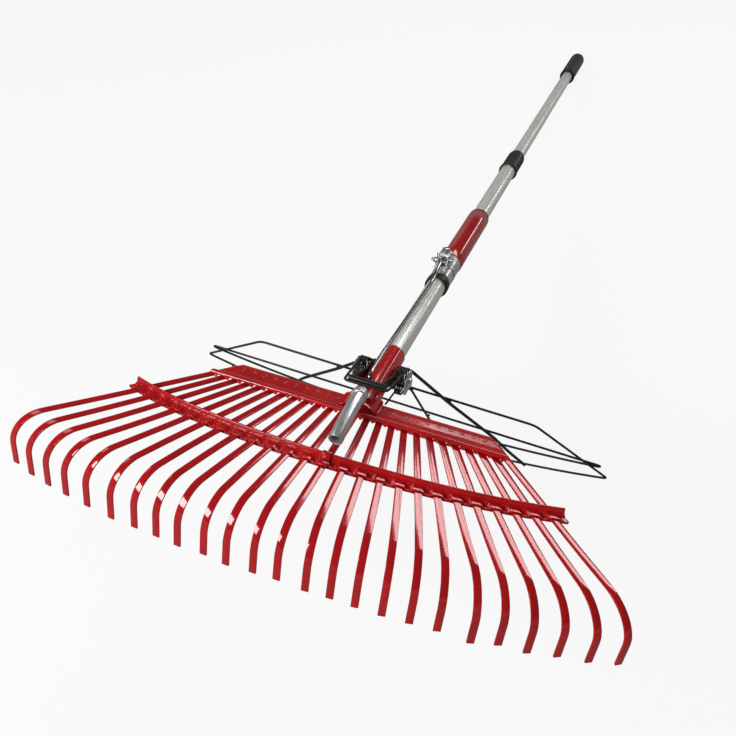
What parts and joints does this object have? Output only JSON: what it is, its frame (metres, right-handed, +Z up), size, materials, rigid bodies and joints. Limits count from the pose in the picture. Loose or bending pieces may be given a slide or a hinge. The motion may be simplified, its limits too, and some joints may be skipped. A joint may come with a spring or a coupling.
{
  "type": "leaf rake",
  "caption": "Leaf rake: a fan of flat sprung tines, a telescopic pole with a twist lock, and a hinged wire jaw that a sliding sleeve closes through a pull rod.",
  "frame": {"origin": "centre of the bounding box on the ground, as the rake lies on its jaw's bow and on the end of its grip", "axes": "+X across the head, +Y along the pole towards the grip, +Z up"},
  "size_m": [0.6386, 1.8318, 0.2825],
  "materials": {
    "tine_paint": "gloss",
    "bar_paint": "gloss",
    "socket_paint": "gloss",
    "sleeve_paint": "satin",
    "pole_steel": "satin",
    "stub_zinc": "bright zinc",
    "clamp_zinc": "bright zinc",
    "pivot_zinc": "bright zinc",
    "rod_steel": "bright drawn wire",
    "yoke_black": "satin black",
    "wire_black": "satin black",
    "spring_black": "oiled black",
    "collar_plastic": "moulded",
    "grip_plastic": "moulded",
    "ring_plastic": "moulded"
  },
  "bodies": {
    "head": {"tine_01": "tine_paint", "tine_02": "tine_paint", "tine_03": "tine_paint", "tine_04": "tine_paint", "tine_05": "tine_paint", "tine_06": "tine_paint", "tine_07": "tine_paint", "tine_08": "tine_paint", "tine_09": "tine_paint", "tine_10": "tine_paint", "tine_11": "tine_paint", "tine_12": "tine_paint", "tine_13": "tine_paint", "tine_14": "tine_paint", "tine_15": "tine_paint", "tine_16": "tine_paint", "tine_17": "tine_paint", "tine_18": "tine_paint", "tine_19": "tine_paint", "tine_20": "tine_paint", "tine_21": "tine_paint", "tine_22": "tine_paint", "tine_23": "tine_paint", "tine_24": "tine_paint", "tine_25": "tine_paint", "rivet_strip": "bar_paint", "rear_bar": "bar_paint", "front_bar": "bar_paint", "front_bar_strip": "bar_paint", "bar_splice": "bar_paint", "head_socket": "socket_paint", "lower_tube": "pole_steel", "stub_tube": "stub_zinc", "stub_collar": "stub_zinc", "pivot_bolt": "pivot_zinc", "pivot_washer_left": "pivot_zinc", "pivot_washer_right": "pivot_zinc", "torsion_spring": "spring_black"},
    "jaw": {"yoke": "yoke_black", "jaw_back_wire": "wire_black", "jaw_side_left": "wire_black", "jaw_side_right": "wire_black", "jaw_front_wire": "wire_black", "jaw_loop": "wire_black", "jaw_hairpin": "wire_black", "jaw_brace_left": "wire_black", "jaw_brace_right": "wire_black"},
    "sleeve": {"slider_end_ring": "ring_plastic", "rod_clamp": "clamp_zinc", "clamp_band": "clamp_zinc", "grip_sleeve": "sleeve_paint", "sleeve_end_ring": "ring_plastic", "clamp_pin": "clamp_zinc", "set_screw": "clamp_zinc"},
    "rod": {"pull_rod": "rod_steel"},
    "wing": {"wing_nut": "clamp_zinc"},
    "upper_pole": {"upper_tube": "pole_steel", "lock_cam": "ring_plastic", "end_grip": "grip_plastic"},
    "collar": {"lock_collar": "collar_plastic"}
  },
  "joints": [
    {"name": "jaw_hinge", "type": "hinge", "parent": "head", "child": "jaw", "pos_m": [-0.00113, -0.61688, 0.23354], "axis": [0.9997, 0.0038, 0.0227], "range_deg": [-120, 0], "stiffness_Nm_per_rad": 0.6, "springref_deg": 57.3, "deforming": ["torsion_spring"]},
    {"name": "sleeve_slide", "type": "slide", "parent": "head", "child": "sleeve", "axis": [-0.0004, 0.9896, -0.1439], "range_m": [0, 0.117]},
    {"name": "pull_rod_hinge", "type": "hinge", "parent": "sleeve", "child": "rod", "pos_m": [-0.00197, -0.3633, 0.22858], "axis": [0.9997, 0.0038, 0.0227], "range_deg": [-1.9, 0]},
    {"name": "wing_nut_spin", "type": "hinge", "parent": "sleeve", "child": "wing", "pos_m": [-0.00197, -0.3633, 0.22858], "axis": [0.9997, 0.0038, 0.0227], "continuous": true},
    {"name": "pole_slide", "type": "slide", "parent": "head", "child": "upper_pole", "axis": [-0.0004, 0.9896, -0.1439], "range_m": [-0.55, 0]},
    {"name": "lock_collar_twist", "type": "hinge", "parent": "head", "child": "collar", "pos_m": [-0.00152, 0.07449, 0.13618], "axis": [-0.0004, 0.9896, -0.1439], "range_deg": [0, 90]}
  ],
  "couplings": [
    {"joint": "sleeve_slide", "follows": "jaw_hinge", "m_per_rad": -0.055804},
    {"joint": "pull_rod_hinge", "follows": "jaw_hinge", "ratio": 0.015783}
  ]
}
